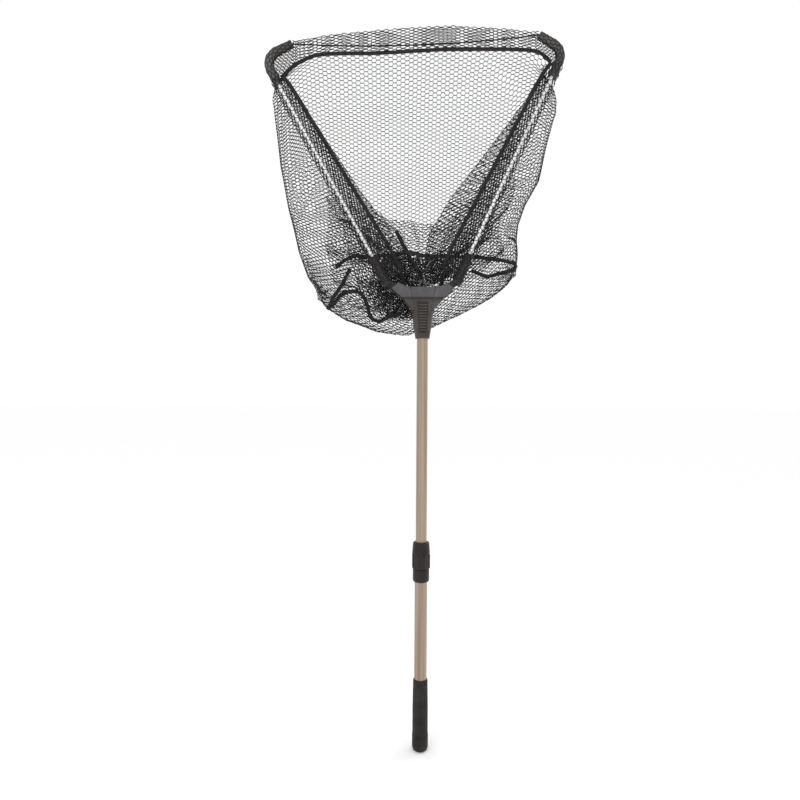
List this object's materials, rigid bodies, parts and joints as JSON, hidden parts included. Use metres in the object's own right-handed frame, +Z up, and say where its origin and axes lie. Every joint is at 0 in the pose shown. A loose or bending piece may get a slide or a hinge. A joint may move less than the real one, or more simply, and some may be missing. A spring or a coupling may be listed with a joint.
{
  "type": "landing net",
  "caption": "Folding triangular landing net with a telescopic twist-lock handle, a Y-shaped pivoting head, cord mouth and a hanging mesh bag.",
  "frame": {"origin": "centre of the flat butt end of the grip, on the handle's axis", "axes": "+Z up the handle towards the head; the open mouth lies in the XZ plane and faces -Y, and the bag hangs behind it on the +Y side"},
  "size_m": [0.5984, 0.1531, 1.447],
  "materials": {
    "grip_rubber": "matte",
    "black_plastic": "matte",
    "collar_plastic": "satin",
    "lower_aluminium": "satin",
    "upper_aluminium": "satin",
    "nylon": "satin",
    "head_plastic": "matte",
    "cover_plastic": "matte",
    "socket_plastic": "matte",
    "cap_plastic": "matte",
    "steel": "satin",
    "rod_aluminium": "polished",
    "mesh": "matte",
    "tape": "matte",
    "cord": "matte"
  },
  "bodies": {
    "lower_handle": {"grip": "grip_rubber", "butt_plug": "black_plastic", "lower_tube": "lower_aluminium", "collar_base": "collar_plastic", "collet": "nylon"},
    "twist_nut": {"lock_nut": "collar_plastic"},
    "upper_frame": {"upper_tube": "upper_aluminium", "guide_bush": "nylon", "head_body": "head_plastic", "head_cover": "cover_plastic", "cover_screws": "steel", "neck_rivet": "steel", "slider_spring": "steel", "left_pivot_pin": "steel", "right_pivot_pin": "steel", "net_eye": "cover_plastic", "apex_tie": "cord", "front_cord": "cord", "front_hem": "mesh", "front_hem_tape": "tape", "bag_front_panel": "mesh", "bag_side_panel": "mesh", "bag_shoulder_panel": "mesh", "bag_back_panel": "mesh", "bag_seam_tape": "tape"},
    "slider": {"thumb_slider": "head_plastic"},
    "left_arm": {"left_arm_socket": "socket_plastic", "left_rod": "rod_aluminium", "left_rivets": "steel", "left_corner_cap": "cap_plastic", "left_hem": "mesh", "left_hem_tape": "tape"},
    "right_arm": {"right_arm_socket": "socket_plastic", "right_rod": "rod_aluminium", "right_rivets": "steel", "right_corner_cap": "cap_plastic", "right_hem": "mesh", "right_hem_tape": "tape"}
  },
  "joints": [
    {"name": "lock_twist", "type": "hinge", "parent": "lower_handle", "child": "twist_nut", "pos_m": [0, 0, 0.389], "axis": [0, 0, 1], "range_deg": [0, 120]},
    {"name": "handle_slide", "type": "slide", "parent": "lower_handle", "child": "upper_frame", "axis": [0, 0, -1], "range_m": [0, 0.24]},
    {"name": "thumb_slide", "type": "slide", "parent": "upper_frame", "child": "slider", "axis": [0, 0, -1], "range_m": [0, 0.01], "stiffness_N_per_m": 250, "springref_m": -0.003, "deforming": ["slider_spring"]},
    {"name": "left_fold", "type": "hinge", "parent": "upper_frame", "child": "left_arm", "pos_m": [-0.018, 0, 0.897], "axis": [0, 1, 0], "range_deg": [0, 24], "deforming": ["front_cord", "front_hem", "front_hem_tape", "bag_front_panel", "bag_side_panel", "bag_shoulder_panel", "bag_back_panel", "bag_seam_tape"]},
    {"name": "right_fold", "type": "hinge", "parent": "upper_frame", "child": "right_arm", "pos_m": [0.018, 0, 0.897], "axis": [0, -1, 0], "range_deg": [0, 24]}
  ],
  "couplings": [
    {"joint": "right_fold", "follows": "left_fold", "ratio": 1}
  ]
}
